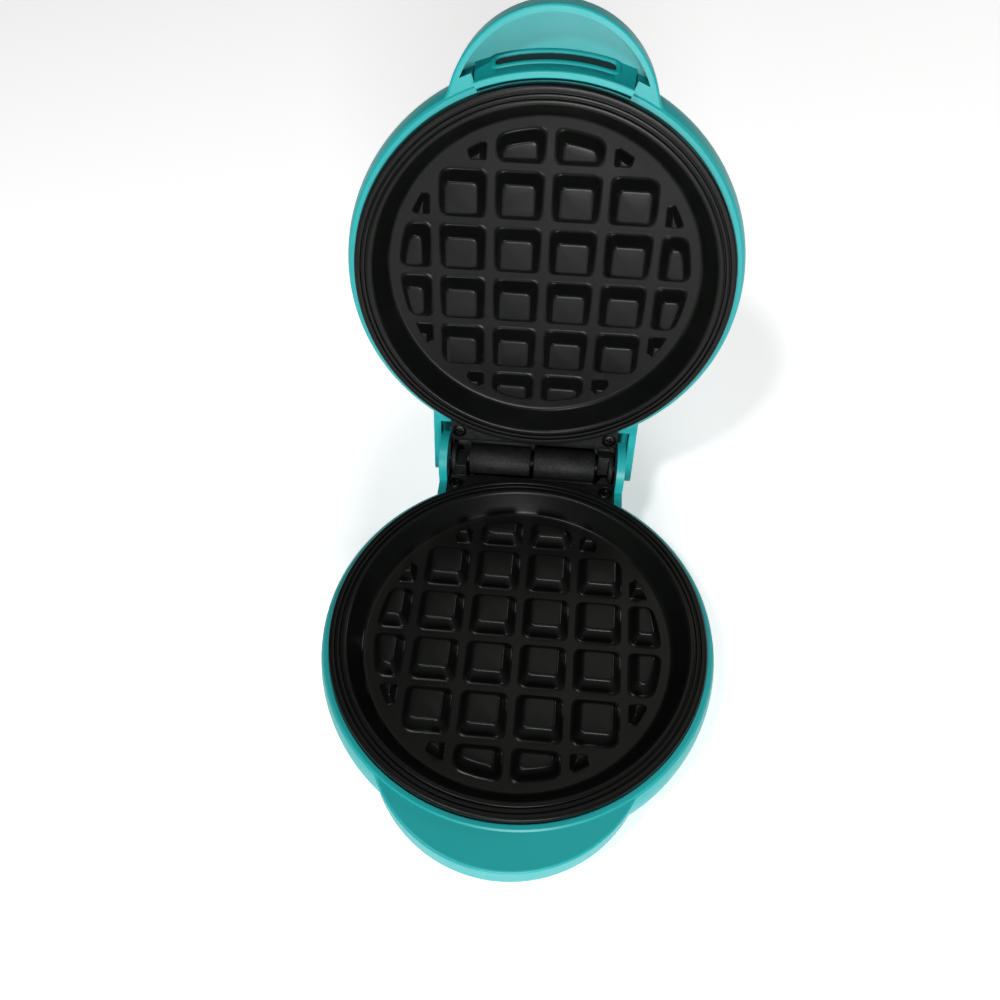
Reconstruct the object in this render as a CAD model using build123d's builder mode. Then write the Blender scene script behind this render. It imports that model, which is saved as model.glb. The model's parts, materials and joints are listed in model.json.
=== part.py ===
from build123d import *
from math import cos, degrees, radians, sin, sqrt
import os

os.makedirs("parts", exist_ok=True)

# Mini waffle maker, standing open. Millimetres, +Z up, handles towards -Y, hinge towards +Y.
# The origin lies on the table under the middle of the lower cooking plate.
# Each half is drawn in its own frame: origin at the middle of the plate's floor, +Y to the hinge,
# +Z out of the cooking side. The lid's frame is the base's, turned over and swung open.

# Stance and hinge
plate_height = 28.5          # floor of the lower plate above the table
hinge_setback = 7.6          # hinge axis behind the plate's rim
hinge_z = 8.5                # hinge axis above the floor of the plate
open_angle = 105.4           # lid angle in the open stance, from closed
running_gap = 0.3            # clearance between pieces that move past each other
fit_gap = 0.2                # clearance round pieces that drop into a seat

# Cooking plate
rim_radius = 60.1
rim_width = 5.6
wall_run = 4.3               # how far the sloping wall leans out
floor_thickness = 2.8
rim_height = 8.0
rim_drop = 3.4               # thickness of the rim's flange
wall_thickness = 2.3
stub_pitch = 17.4
stub_rows = 6
stub_foot = 13.76
stub_top = 9.78
stub_height = 4.9
stub_field_margin = 4.2      # bare floor outside the stubs
stub_field_taper = 1.6
rim_groove_places = (3.7, 2.2)
rim_groove_width = 0.4
rim_groove_depth = 0.8

# Plate ears, barrels and knuckles
ear_half_width = 29.7
ear_gap = 0.2                # from the ears to the other plate's barrel
ear_top = 6.0
barrel_radius = 5.5
barrel_start = 0.6
barrel_end = 22.4
knuckle_start = 23.4
knuckle_end = 28.9
pin_radius = 1.75
pin_half_length = 32.0
bore_clearance = 0.08
ear_screw_x = 26.8
ear_screw_inset = 4.0
ear_recess_radius = 3.4
ear_recess_depth = 1.6

# Housings
lip_wall = 2.0
shell_bulge = 1.1            # widest ring beyond the lip
shell_wall = 2.2
shell_wide_z = -2.5          # height of the widest ring
lip_edge = 0.7               # chamfer on the lip's rim
lip_z = 5.5
half_depth = 25.5            # floor of the plate to the outside of each half
base_foot_inset = 17.5
lid_corner_radius = 16.0
ledge_width = 3.0
ledge_thickness = 2.0

# Handles
base_handle_radius = 42.4
base_handle_reach = 9.9      # handle's tip beyond the shell
base_handle_top = 5.0
base_handle_depth = 12.5
lid_handle_radius = 30.8
lid_handle_reach = 16.0
lid_handle_lip = 5.0
lid_handle_depth = 11.5
lid_handle_wall = 2.0
lid_hollow_depth = 8.8
handle_blend = 6.0           # concave round where a handle meets its half
handle_edge = 3.5            # round on the base handle's lower edge
handle_brim = 0.8            # round on a handle's brim
lid_handle_edge = 2.5        # round on the lid handle's outer edge

# Insert that closes the lid handle's hollow from the plate side
insert_half_angle = 20.5
insert_gap = 1.5             # from the lip's inside to the flange
insert_wall = 1.6
insert_top = 9.0
insert_foot_spread = 2.9
insert_shoulder = 7.2
bezel_half_angle = 16.6
bezel_stand = 0.9
bezel_top = 2.8
bezel_bottom = -2.0
slot_half_angle = 14.0
slot_top = 1.7
slot_bottom = -0.7
slot_depth = 3.4

# Hinge block of the base and shroud of the lid
fin_inner_x = 30.0
fin_thickness = 2.8
fin_radius = 9.3
fin_front_reach = 15.7
block_front_reach = 27.7
block_corner = 5.0
block_edge = 1.6
block_top_z = 2.0
block_wall = 2.4
arm_inner_x = 34.2
arm_thickness = 2.6
arm_rear_reach = 13.3
arm_front_reach = 17.7
arm_edge_z = 0.5
shroud_depth = 8.0
shroud_clear_radius = 14.05
shroud_rear_reach = 7.3
shroud_front_reach = 9.8

# Feet and bottom cover
foot_height = 3.0
foot_radius = 6.0
foot_socket = 1.0
front_foot_x = 18.0
front_foot_y = -32.0
rear_foot_x = 22.0
rear_foot_inset = 10.5
cover_thickness = 2.0
cover_step = 1.6
cover_boss_radius = 3.4
cover_boss_height = 8.0
cover_boss_place = 41.0
cover_screw_count = 4
post_angle = 45.0            # places of the cover's and the shields' screws

# Heating and control parts
element_radius = 34.0
element_tube = 3.25
element_arc = 320.0
cold_pin_radius = 1.2
cold_pin_drop = 12.0
element_drop = 9.75          # how far the ends turn down
clamp_count = 3
handle_angle = -90.0         # direction of the handle, and of the first clamp
clamp_post_place = 26.5
clamp_post_radius = 2.6
clamp_thickness = 1.0
clamp_width = 6.0
shield_depth = 13.0
shield_radius = 48.5
shield_rim_radius = 51.5
shield_rim_height = 7.0
shield_thickness = 0.6
shield_hole_radius = 10.0
shield_post_radius = 2.8
shield_post_place = 44.0
shield_post_count = 4
thermostat_radius = 8.0
thermostat_height = 8.0
fuse_radius = 2.0
fuse_length = 12.0
fuse_y = -16.0
fuse_clip_width = 4.0
terminal_length = 24.0
terminal_width = 12.0
terminal_height = 9.0
terminal_setback = 7.7
gland_radius = 6.0
gland_neck_radius = 4.6
gland_bore_radius = 3.3
gland_height = -13.5
gland_flange = 2.0

# Screws
screw_head_radius = 2.9
screw_head_height = 1.5
screw_shank_radius = 1.5
small_head_radius = 2.2
small_head_height = 1.3
small_shank_radius = 1.1
thread_depth = 5.0

terminal_bore = 2.2
terminal_round = 1.0
terminal_tab_thickness = 0.8
terminal_tab_width = 4.8
terminal_tab_length = 6.0
thermostat_tab_x = 4.5
fuse_clip_wall = 1.2

# Indicator in the lid
lens_radius = 3.2
lens_y = -30.0
lens_stand = 1.0
lens_length = 5.0

# Rounds and posts
foot_round = 0.8
arm_round = 3.5
ear_post_radius = 3.6
lid_post_radius = 2.8

# Radii and places that follow from the rim outwards and inwards
inner_lip_radius = rim_radius + running_gap
lip_radius = inner_lip_radius + lip_wall
shell_radius = lip_radius + shell_bulge
base_foot_radius = shell_radius - base_foot_inset
rim_inner_radius = rim_radius - rim_width
floor_radius = rim_inner_radius - wall_run
stub_field_radius = floor_radius - stub_field_margin
stub_field_top_radius = stub_field_radius - stub_field_taper
hinge_y = rim_radius + hinge_setback
ear_end_y = hinge_y - barrel_radius - ear_gap
ear_screw_y = ear_end_y - ear_screw_inset
fin_front_y = hinge_y - fin_front_reach
block_front_y = hinge_y - block_front_reach
arm_end_y = hinge_y + arm_rear_reach
arm_front_y = hinge_y - arm_front_reach
shroud_rear_y = hinge_y + shroud_rear_reach
shroud_front_y = hinge_y - shroud_front_reach
base_handle_y = base_handle_radius - base_handle_reach - shell_radius
lid_handle_y = lid_handle_radius - lid_handle_reach - shell_radius
insert_inner_radius = inner_lip_radius + insert_gap
insert_outer_radius = insert_inner_radius + insert_wall
insert_foot_radius = insert_outer_radius + insert_foot_spread
rear_foot_y = hinge_y + fin_radius - rear_foot_inset
terminal_y = hinge_y - terminal_setback

# Frames of the two halves
hinge_height = plate_height + hinge_z
hinge_at = Location((0, hinge_y, hinge_height))
swing = hinge_at * Location((0, 0, 0), (-open_angle, 0, 0)) * hinge_at.inverse()
base_at = Location((0, 0, plate_height))
lid_at = swing * Location((0, 0, plate_height + 2 * hinge_z), (0, 180, 0))
halves = {"lower": base_at, "upper": lid_at}


def on(place, plane):
    """A plane of a half's own frame, as it stands in the whole."""
    return Plane(place * plane.location)


def spin_axis(place):
    """The axis through the middle of a half, square to its plate."""
    frame = Plane(place)
    return Axis(frame.origin, frame.z_dir)


def radial_plane(place, angle):
    """A half's upright plane through its middle, turned to an angle from +X."""
    turn = radians(angle)
    return on(place, Plane((0, 0, 0), x_dir=(cos(turn), sin(turn), 0), z_dir=(sin(turn), -cos(turn), 0)))


def arc_centre():
    """Middle of the round that carries the base from its widest ring to its foot."""
    reach = shell_radius - base_foot_radius
    drop = half_depth + shell_wide_z
    radius = (reach ** 2 + drop ** 2) / (2 * reach)
    return radius, shell_radius - radius


def handle_outline(body_radius, radius, middle_y):
    """Draw a round handle on a round body, with concave blends where they meet."""
    body_reach = body_radius + handle_blend
    handle_reach = radius + handle_blend
    y = (body_reach ** 2 - handle_reach ** 2 + middle_y ** 2) / (2 * middle_y)
    x = sqrt(body_reach ** 2 - y ** 2)
    Circle(body_radius)
    with Locations((0, middle_y)):
        Circle(radius)
    Polygon((0, 0), (x, y), (0, middle_y), (-x, y), align=None)
    with Locations((x, y), (-x, y)):
        Circle(handle_blend, mode=Mode.SUBTRACT)


def dome_radius():
    """Radius of the lid's crown that runs smoothly into its corner round."""
    centre = shell_radius - lid_corner_radius
    drop = half_depth + shell_wide_z
    return (centre ** 2 + drop ** 2 - lid_corner_radius ** 2) / (2 * (drop - lid_corner_radius))


def dome_z(radius_out):
    """Height of the lid's outer surface at a distance from its middle."""
    crown = dome_radius()
    return crown - half_depth - sqrt(crown ** 2 - radius_out ** 2)


def insert_sector(inner, outer, half_angle):
    """Draw the band of a ring that faces the handle."""
    reach = 2 * outer
    Polygon(
        (0, 0), (reach * sin(radians(half_angle)), -reach * cos(radians(half_angle))),
        (-reach * sin(radians(half_angle)), -reach * cos(radians(half_angle))), align=None)
    Circle(outer, mode=Mode.INTERSECT)
    Circle(inner, mode=Mode.SUBTRACT)


def insert_face(height):
    """Radius of the insert's sloping face at a height."""
    run = (insert_shoulder - height) / (insert_shoulder - lid_handle_lip + lid_hollow_depth)
    return insert_outer_radius + insert_foot_spread * run


# Sizes that follow from the ones above
flange_z = rim_height - rim_drop
floor_under = -floor_thickness
ear_bottom = hinge_z - barrel_radius
base_arc_radius, base_arc_x = arc_centre()
inner_wall_radius = shell_radius - shell_wall
block_half_width = fin_inner_x + fin_thickness
block_back_y = hinge_y + fin_radius
arm_outer_x = arm_inner_x + arm_thickness
element_z = floor_under - element_tube
clamp_z = element_z - element_tube
cover_radius = base_foot_radius - shell_wall - fit_gap
cover_top = -half_depth + cover_thickness
element_open_angle = (360 - element_arc) / 2
element_ends = [
    (side * element_radius * sin(radians(element_open_angle)),
     element_radius * cos(radians(element_open_angle))) for side in (1, -1)]
groove_foot = (stub_pitch - stub_foot) / 2
groove_top = (stub_pitch - stub_top) / 2
clamp_reach = element_radius - clamp_post_place + clamp_post_radius
blend_radius = lip_radius - fit_gap
base_inner_arc = base_arc_radius - shell_wall
base_inner_foot = base_arc_x + sqrt(base_inner_arc ** 2 - (cover_top - shell_wide_z) ** 2)
bay_middle_y = (block_front_y + block_back_y) / 2 + shell_wall
bay_length = block_back_y - block_front_y + 2 * shell_wall
bay_height = 2 * fin_radius
ear_screw_length = ear_top - ear_recess_depth - block_top_z + thread_depth
gland_plane = on(base_at, Plane((0, block_back_y, gland_height), x_dir=(-1, 0, 0), z_dir=(0, 1, 0)))
insert_foot_z = lid_handle_lip - lid_hollow_depth
insert_play = degrees(fit_gap / insert_outer_radius)
ledge_bottom = flange_z - ledge_thickness
crown_slope = (shell_radius - lid_corner_radius) / (dome_radius() - lid_corner_radius)
crown_rise = sqrt(1 - crown_slope ** 2)
dome_join_x = shell_radius - lid_corner_radius * (1 - crown_slope)
dome_join_z = shell_wide_z - lid_corner_radius * crown_rise
dome_inner_x = dome_join_x - shell_wall * crown_slope
dome_inner_z = dome_join_z + shell_wall * crown_rise


# Cooking plates: one casting used twice, with stubs, ears, hinge barrel and knuckle
for side, place in halves.items():
    with BuildPart() as plate:
        with BuildSketch(on(place, Plane.XZ)):
            with BuildLine():
                Polyline(
                    (0, 0), (stub_field_radius, 0), (stub_field_top_radius, stub_height),
                    (0, stub_height), close=True)
            make_face()
        revolve(axis=spin_axis(place))
        for across in (Plane.XZ, Plane.YZ):
            with BuildSketch(on(place, across)):
                with GridLocations(stub_pitch, stub_pitch, stub_rows - 1, 1):
                    Polygon(
                        (-groove_foot, 0), (groove_foot, 0), (groove_top, stub_height),
                        (-groove_top, stub_height), align=None)
            extrude(amount=stub_field_radius, both=True, mode=Mode.SUBTRACT)
        with BuildSketch(on(place, Plane.XZ)):
            with BuildLine():
                Polyline(
                    (0, 0), (floor_radius, 0), (rim_inner_radius, rim_height),
                    (rim_radius, rim_height), (rim_radius, flange_z),
                    (rim_inner_radius + wall_thickness, flange_z),
                    (floor_radius + wall_thickness, floor_under), (0, floor_under), close=True)
            make_face()
        revolve(axis=spin_axis(place))
        with BuildSketch(on(place, Plane.XY.offset(rim_height))):
            for groove in rim_groove_places:
                Circle(rim_radius - groove + rim_groove_width / 2)
                Circle(rim_radius - groove - rim_groove_width / 2, mode=Mode.SUBTRACT)
        extrude(amount=-rim_groove_depth, mode=Mode.SUBTRACT)
        with BuildSketch(on(place, Plane.XY.offset(ear_bottom))):
            with Locations((0, ear_end_y / 2)):
                Rectangle(2 * ear_half_width, ear_end_y)
            Circle(rim_inner_radius + wall_thickness, mode=Mode.SUBTRACT)
        extrude(amount=ear_top - ear_bottom)
        for start, length in (
                (barrel_start, barrel_end - barrel_start), (-knuckle_end, knuckle_end - knuckle_start)):
            with BuildSketch(on(place, Plane.YZ.offset(start))):
                with Locations((hinge_y, hinge_z)):
                    Circle(barrel_radius)
                with Locations(((ear_end_y + hinge_y) / 2, (ear_bottom + ear_top) / 2)):
                    Rectangle(hinge_y - ear_end_y, ear_top - ear_bottom)
            extrude(amount=length)
        with BuildSketch(on(place, Plane.YZ)):
            with Locations((hinge_y, hinge_z)):
                Circle(pin_radius + bore_clearance)
        extrude(amount=pin_half_length, both=True, mode=Mode.SUBTRACT)
        with BuildSketch(on(place, Plane.XY.offset(ear_top))):
            with Locations((-ear_screw_x, ear_screw_y), (ear_screw_x, ear_screw_y)):
                Circle(ear_recess_radius)
        extrude(amount=-ear_recess_depth, mode=Mode.SUBTRACT)
        with BuildSketch(on(place, Plane.XY.offset(ear_top))):
            with Locations((-ear_screw_x, ear_screw_y), (ear_screw_x, ear_screw_y)):
                Circle(screw_shank_radius + fit_gap / 2)
        extrude(amount=-rim_height, mode=Mode.SUBTRACT)
        with BuildSketch(on(place, Plane.XY.offset(floor_under))):
            with PolarLocations(clamp_post_place, clamp_count, start_angle=handle_angle):
                Circle(clamp_post_radius)
        extrude(amount=-2 * element_tube)
        with BuildSketch(on(place, Plane.XY.offset(floor_under))):
            with PolarLocations(shield_post_place, shield_post_count, start_angle=post_angle):
                Circle(shield_post_radius)
        extrude(amount=-shield_depth - floor_under)
        with BuildSketch(on(place, Plane.XY.offset(clamp_z))):
            with PolarLocations(clamp_post_place, clamp_count, start_angle=handle_angle):
                Circle(small_shank_radius + fit_gap / 2)
        extrude(amount=thread_depth, mode=Mode.SUBTRACT)
        with BuildSketch(on(place, Plane.XY.offset(-shield_depth))):
            with PolarLocations(shield_post_place, shield_post_count, start_angle=post_angle):
                Circle(small_shank_radius + fit_gap / 2)
        extrude(amount=thread_depth, mode=Mode.SUBTRACT)
    plate.part.label = f"{side}_plate"
    export_step(plate.part, f"parts/{side}_plate.step")

# Screws that hold each plate's ears down
for side, place in halves.items():
    with BuildPart() as ear_screws:
        with BuildSketch(on(place, Plane.XY.offset(ear_top - ear_recess_depth))):
            with Locations((-ear_screw_x, ear_screw_y), (ear_screw_x, ear_screw_y)):
                Circle(screw_head_radius)
        extrude(amount=screw_head_height)
        with BuildSketch(on(place, Plane.XY.offset(ear_top - ear_recess_depth))):
            with Locations((-ear_screw_x, ear_screw_y), (ear_screw_x, ear_screw_y)):
                Circle(screw_shank_radius)
        extrude(amount=-ear_screw_length)
    ear_screws.part.label = f"{side}_plate_screws"
    export_step(ear_screws.part, f"parts/{side}_plate_screws.step")

# Tubular heating elements under the plates, with their cold pins
for side, place in halves.items():
    with BuildPart() as element:
        with BuildSketch(radial_plane(place, element_open_angle - handle_angle)):
            with Locations((element_radius, element_z)):
                Circle(element_tube)
        revolve(axis=spin_axis(place), revolution_arc=element_arc)
        with BuildSketch(on(place, Plane.XY.offset(element_z + element_tube))):
            with Locations(*element_ends):
                Circle(element_tube)
        extrude(amount=-element_drop)
        with BuildSketch(on(place, Plane.XY.offset(element_z))):
            with Locations(*element_ends):
                Circle(cold_pin_radius)
        extrude(amount=-cold_pin_drop)
    element.part.label = f"{side}_element"
    export_step(element.part, f"parts/{side}_element.step")

# Straps that press each element to its plate
for side, place in halves.items():
    with BuildPart() as clamps:
        with BuildSketch(on(place, Plane.XY.offset(clamp_z))):
            with PolarLocations(clamp_post_place + clamp_reach / 2, clamp_count, start_angle=handle_angle):
                Rectangle(clamp_reach + 2 * clamp_post_radius, clamp_width)
            with PolarLocations(clamp_post_place, clamp_count, start_angle=handle_angle):
                Circle(small_shank_radius + fit_gap / 2, mode=Mode.SUBTRACT)
        extrude(amount=-clamp_thickness)
    clamps.part.label = f"{side}_element_clamps"
    export_step(clamps.part, f"parts/{side}_element_clamps.step")

# Screws of the straps
for side, place in halves.items():
    with BuildPart() as clamp_screws:
        with BuildSketch(on(place, Plane.XY.offset(clamp_z - clamp_thickness))):
            with PolarLocations(clamp_post_place, clamp_count, start_angle=handle_angle):
                Circle(small_head_radius)
        extrude(amount=-small_head_height)
        with BuildSketch(on(place, Plane.XY.offset(clamp_z - clamp_thickness))):
            with PolarLocations(clamp_post_place, clamp_count, start_angle=handle_angle):
                Circle(small_shank_radius)
        extrude(amount=clamp_thickness + thread_depth - fit_gap)
    clamp_screws.part.label = f"{side}_clamp_screws"
    export_step(clamp_screws.part, f"parts/{side}_clamp_screws.step")

# Heat shields: pressed sheet dishes behind the elements
for side, place in halves.items():
    with BuildPart() as shield:
        with BuildSketch(on(place, Plane.XZ)):
            with BuildLine():
                Polyline(
                    (shield_hole_radius, -shield_depth), (shield_radius, -shield_depth),
                    (shield_rim_radius, -shield_depth + shield_rim_height),
                    (shield_rim_radius + shield_thickness, -shield_depth + shield_rim_height),
                    (shield_radius + shield_thickness, -shield_depth - shield_thickness),
                    (shield_hole_radius, -shield_depth - shield_thickness), close=True)
            make_face()
        revolve(axis=spin_axis(place))
        with BuildSketch(on(place, Plane.XY.offset(-shield_depth - shield_thickness))):
            with Locations(*element_ends):
                Circle(element_tube + running_gap)
            with PolarLocations(shield_post_place, shield_post_count, start_angle=post_angle):
                Circle(small_shank_radius + fit_gap / 2)
        extrude(amount=shield_thickness, mode=Mode.SUBTRACT)
    shield.part.label = f"{side}_heat_shield"
    export_step(shield.part, f"parts/{side}_heat_shield.step")

# Screws of the heat shields
for side, place in halves.items():
    with BuildPart() as shield_screws:
        with BuildSketch(on(place, Plane.XY.offset(-shield_depth - shield_thickness))):
            with PolarLocations(shield_post_place, shield_post_count, start_angle=post_angle):
                Circle(small_head_radius)
        extrude(amount=-small_head_height)
        with BuildSketch(on(place, Plane.XY.offset(-shield_depth - shield_thickness))):
            with PolarLocations(shield_post_place, shield_post_count, start_angle=post_angle):
                Circle(small_shank_radius)
        extrude(amount=shield_thickness + thread_depth - fit_gap)
    shield_screws.part.label = f"{side}_shield_screws"
    export_step(shield_screws.part, f"parts/{side}_shield_screws.step")

# Base housing: a bowl with a handle in front and the hinge block behind
with BuildPart() as block:
    with BuildSketch(on(base_at, Plane.XY.offset(-half_depth))) as block_plan:
        with Locations((0, (block_front_y + block_back_y) / 2)):
            Rectangle(2 * block_half_width, block_back_y - block_front_y)
        fillet(block_plan.vertices().group_by(Axis.Y)[-1], block_corner)
    extrude(amount=half_depth + block_top_z)
    chamfer(block.faces().sort_by(Axis.Z)[0].edges().sort_by(Axis.Y)[1:], block_edge)
with BuildPart() as base_housing:
    # Handle shelf, rounded below and along its brim
    with BuildSketch(on(base_at, Plane.XY.offset(base_handle_top))):
        handle_outline(blend_radius, base_handle_radius, base_handle_y)
    extrude(amount=-base_handle_depth)
    fillet(base_housing.faces().sort_by(Axis.Z)[0].edges(), handle_edge)
    fillet(base_housing.faces().sort_by(Axis.Z)[-1].edges(), handle_brim)
    # Bowl
    with BuildSketch(on(base_at, Plane.XZ)):
        with BuildLine():
            Line((0, -half_depth), (base_foot_radius, -half_depth))
            RadiusArc((base_foot_radius, -half_depth), (shell_radius, shell_wide_z), -base_arc_radius)
            TangentArc((shell_radius, shell_wide_z), (lip_radius, lip_z - lip_edge), tangent=(0, 1))
            Polyline((lip_radius, lip_z - lip_edge), (lip_radius - lip_edge, lip_z), (0, lip_z), (0, -half_depth))
        make_face()
    revolve(axis=spin_axis(base_at))
    # Hinge block and fins
    add(block.part)
    for start in (fin_inner_x, -block_half_width):
        with BuildSketch(on(base_at, Plane.YZ.offset(start))):
            with Locations((hinge_y, hinge_z)):
                Circle(fin_radius)
            with Locations(((fin_front_y + block_back_y) / 2, lip_z / 2)):
                Rectangle(block_back_y - fin_front_y, lip_z)
            with Locations((hinge_y, hinge_z / 2)):
                Rectangle(2 * fin_radius, hinge_z)
        extrude(amount=fin_thickness)
    # Inside of the bowl, the block and the handle
    with BuildSketch(on(base_at, Plane.XZ)):
        with BuildLine():
            Polyline((0, lip_z), (0, cover_top), (base_inner_foot, cover_top))
            RadiusArc((base_inner_foot, cover_top), (inner_wall_radius, shell_wide_z), -base_inner_arc)
            Polyline(
                (inner_wall_radius, shell_wide_z), (inner_wall_radius, ear_bottom),
                (inner_lip_radius, flange_z), (inner_lip_radius, lip_z), (0, lip_z))
        make_face()
    revolve(axis=spin_axis(base_at), mode=Mode.SUBTRACT)
    with BuildSketch(on(base_at, Plane.XY.offset(cover_top))):
        with Locations((0, (block_front_y + block_back_y - block_wall) / 2)):
            Rectangle(2 * (block_half_width - block_wall), block_back_y - block_wall - block_front_y)
    extrude(amount=block_top_z - block_wall - cover_top, mode=Mode.SUBTRACT)
    with BuildSketch(on(base_at, Plane.XY.offset(base_handle_top - shell_wall))):
        with Locations((0, base_handle_y)):
            Circle(base_handle_radius - shell_wall)
    extrude(amount=2 * shell_wall - base_handle_depth, mode=Mode.SUBTRACT)
    # Opening for the bottom cover, and the step that it seats on
    with BuildSketch(on(base_at, Plane.XY.offset(-half_depth))):
        Circle(cover_radius + fit_gap)
    extrude(amount=cover_thickness, mode=Mode.SUBTRACT)
    with BuildSketch(on(base_at, Plane.XY.offset(cover_top))):
        Circle(base_inner_foot + shell_wall)
        Circle(cover_radius - cover_step, mode=Mode.SUBTRACT)
    extrude(amount=cover_step)
    with BuildSketch(on(base_at, Plane.XY.offset(cover_top))):
        with PolarLocations(cover_boss_place, cover_screw_count, start_angle=post_angle):
            Circle(cover_boss_radius)
    extrude(amount=cover_boss_height)
    with BuildSketch(on(base_at, Plane.XY.offset(cover_top))):
        with PolarLocations(cover_boss_place, cover_screw_count, start_angle=post_angle):
            Circle(small_shank_radius + fit_gap / 2)
    extrude(amount=thread_depth, mode=Mode.SUBTRACT)
    # Ledge that carries the plate's rim
    with BuildSketch(on(base_at, Plane.XY.offset(flange_z))):
        Circle(inner_lip_radius + shell_wall / 2)
        Circle(rim_radius - ledge_width, mode=Mode.SUBTRACT)
    extrude(amount=-ledge_thickness)
    # Bay for the plate's ears and the hinge barrels
    with BuildSketch(on(base_at, Plane.XY.offset(block_top_z))):
        with Locations((0, bay_middle_y)):
            Rectangle(2 * fin_inner_x, bay_length)
    extrude(amount=bay_height, mode=Mode.SUBTRACT)
    with BuildSketch(on(base_at, Plane.XY.offset(block_top_z))):
        with Locations((-ear_screw_x, ear_screw_y), (ear_screw_x, ear_screw_y)):
            Circle(ear_post_radius)
    extrude(amount=ear_bottom - block_top_z)
    with BuildSketch(on(base_at, Plane.XY.offset(ear_bottom))):
        with Locations((-ear_screw_x, ear_screw_y), (ear_screw_x, ear_screw_y)):
            Circle(screw_shank_radius + fit_gap / 2)
    extrude(amount=-ear_screw_length, mode=Mode.SUBTRACT)
    with BuildSketch(on(base_at, Plane.YZ)):
        with Locations((hinge_y, hinge_z)):
            Circle(pin_radius + bore_clearance)
    extrude(amount=pin_half_length + fit_gap, both=True, mode=Mode.SUBTRACT)
    # Sockets of the rear feet and the hole of the cord gland
    with BuildSketch(on(base_at, Plane.XY.offset(-half_depth))):
        with Locations((-rear_foot_x, rear_foot_y), (rear_foot_x, rear_foot_y)):
            Circle(foot_radius + fit_gap / 2)
    extrude(amount=foot_socket, mode=Mode.SUBTRACT)
    with BuildSketch(gland_plane):
        Circle(gland_neck_radius + fit_gap / 2)
    extrude(amount=-2 * block_wall, mode=Mode.SUBTRACT)
base_housing.part.label = "base_housing"
export_step(base_housing.part, "parts/base_housing.step")

# Bottom cover with sockets for the front feet
with BuildPart() as bottom_cover:
    with BuildSketch(on(base_at, Plane.XY.offset(-half_depth))):
        Circle(cover_radius)
        with PolarLocations(cover_boss_place, cover_screw_count, start_angle=post_angle):
            Circle(small_shank_radius + fit_gap / 2, mode=Mode.SUBTRACT)
    extrude(amount=cover_thickness)
    with BuildSketch(on(base_at, Plane.XY.offset(-half_depth))):
        with Locations((-front_foot_x, front_foot_y), (front_foot_x, front_foot_y)):
            Circle(foot_radius + fit_gap / 2)
    extrude(amount=foot_socket, mode=Mode.SUBTRACT)
    with BuildSketch(on(base_at, Plane.XY.offset(-half_depth))):
        with PolarLocations(cover_boss_place, cover_screw_count, start_angle=post_angle):
            Circle(small_head_radius + fit_gap / 2)
    extrude(amount=cover_thickness / 2, mode=Mode.SUBTRACT)
bottom_cover.part.label = "bottom_cover"
export_step(bottom_cover.part, "parts/bottom_cover.step")

# Screws of the bottom cover, sunk into it
with BuildPart() as cover_screws:
    with BuildSketch(on(base_at, Plane.XY.offset(-half_depth + cover_thickness / 2))):
        with PolarLocations(cover_boss_place, cover_screw_count, start_angle=post_angle):
            Circle(small_head_radius)
    extrude(amount=-cover_thickness / 2)
    with BuildSketch(on(base_at, Plane.XY.offset(-half_depth + cover_thickness / 2))):
        with PolarLocations(cover_boss_place, cover_screw_count, start_angle=post_angle):
            Circle(small_shank_radius)
    extrude(amount=cover_thickness / 2 + thread_depth - fit_gap)
cover_screws.part.label = "cover_screws"
export_step(cover_screws.part, "parts/cover_screws.step")

# Rubber feet
foot_places = {
    "foot_front_left": (-front_foot_x, front_foot_y),
    "foot_front_right": (front_foot_x, front_foot_y),
    "foot_rear_left": (-rear_foot_x, rear_foot_y),
    "foot_rear_right": (rear_foot_x, rear_foot_y),
}
for label, spot in foot_places.items():
    with BuildPart() as foot:
        with BuildSketch(Plane.XY):
            with Locations(spot):
                Circle(foot_radius)
        extrude(amount=foot_height + foot_socket)
        fillet(foot.edges().group_by(Axis.Z)[0], foot_round)
    foot.part.label = label
    export_step(foot.part, f"parts/{label}.step")

# Hinge pin, held in the fins and the lower plate
with BuildPart() as hinge_pin:
    with BuildSketch(on(base_at, Plane.YZ.offset(-pin_half_length))):
        with Locations((hinge_y, hinge_z)):
            Circle(pin_radius)
    extrude(amount=2 * pin_half_length)
hinge_pin.part.label = "hinge_pin"
export_step(hinge_pin.part, "parts/hinge_pin.step")

# Thermostat on the underside of the lower plate
with BuildPart() as thermostat:
    with BuildSketch(on(base_at, Plane.XY.offset(floor_under))):
        Circle(thermostat_radius)
    extrude(amount=-thermostat_height)
    with BuildSketch(on(base_at, Plane.XY.offset(floor_under - thermostat_height))):
        with Locations((-thermostat_tab_x, 0), (thermostat_tab_x, 0)):
            Rectangle(terminal_tab_thickness, terminal_tab_width)
    extrude(amount=-terminal_tab_length)
thermostat.part.label = "thermostat"
export_step(thermostat.part, "parts/thermostat.step")

# Thermal fuse under the lower plate and the saddle that holds it
with BuildPart() as thermal_fuse:
    with BuildSketch(on(base_at, Plane.YZ.offset(-fuse_length / 2))):
        with Locations((fuse_y, floor_under - fuse_radius)):
            Circle(fuse_radius)
    extrude(amount=fuse_length)
thermal_fuse.part.label = "thermal_fuse"
export_step(thermal_fuse.part, "parts/thermal_fuse.step")

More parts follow.
